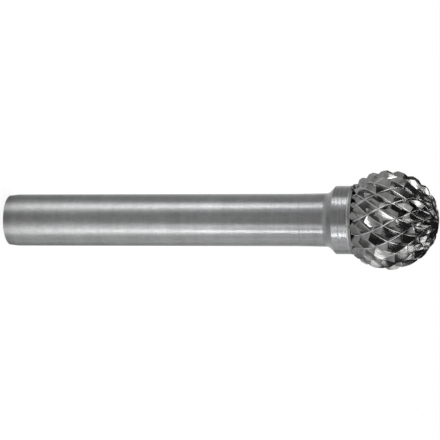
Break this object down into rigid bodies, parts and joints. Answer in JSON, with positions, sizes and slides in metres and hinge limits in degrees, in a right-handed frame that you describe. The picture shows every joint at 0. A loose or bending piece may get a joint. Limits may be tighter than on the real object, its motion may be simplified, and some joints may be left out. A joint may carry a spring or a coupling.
{
  "type": "carbide burr",
  "caption": "Rotary burr with a ball-shaped double-cut tungsten carbide head brazed to a plain round steel shank, for grinding and deburring metal.",
  "frame": {"origin": "centre of the plain end face of the shank", "axes": "+Z along the tool's axis from the end of the shank up to the tip of the head; -Y is the side that the reference view looks at"},
  "size_m": [0.012, 0.012, 0.0537],
  "materials": {
    "shank_steel": "bright steel, ground round the shank and fine-turned on the collar",
    "silver_solder": "dull silver solder",
    "carbide": "dark ground tungsten carbide with mirror-like tooth faces"
  },
  "bodies": {
    "root": {"shank": "shank_steel", "braze_joint": "silver_solder", "cutting_head": "carbide"}
  },
  "joints": []
}
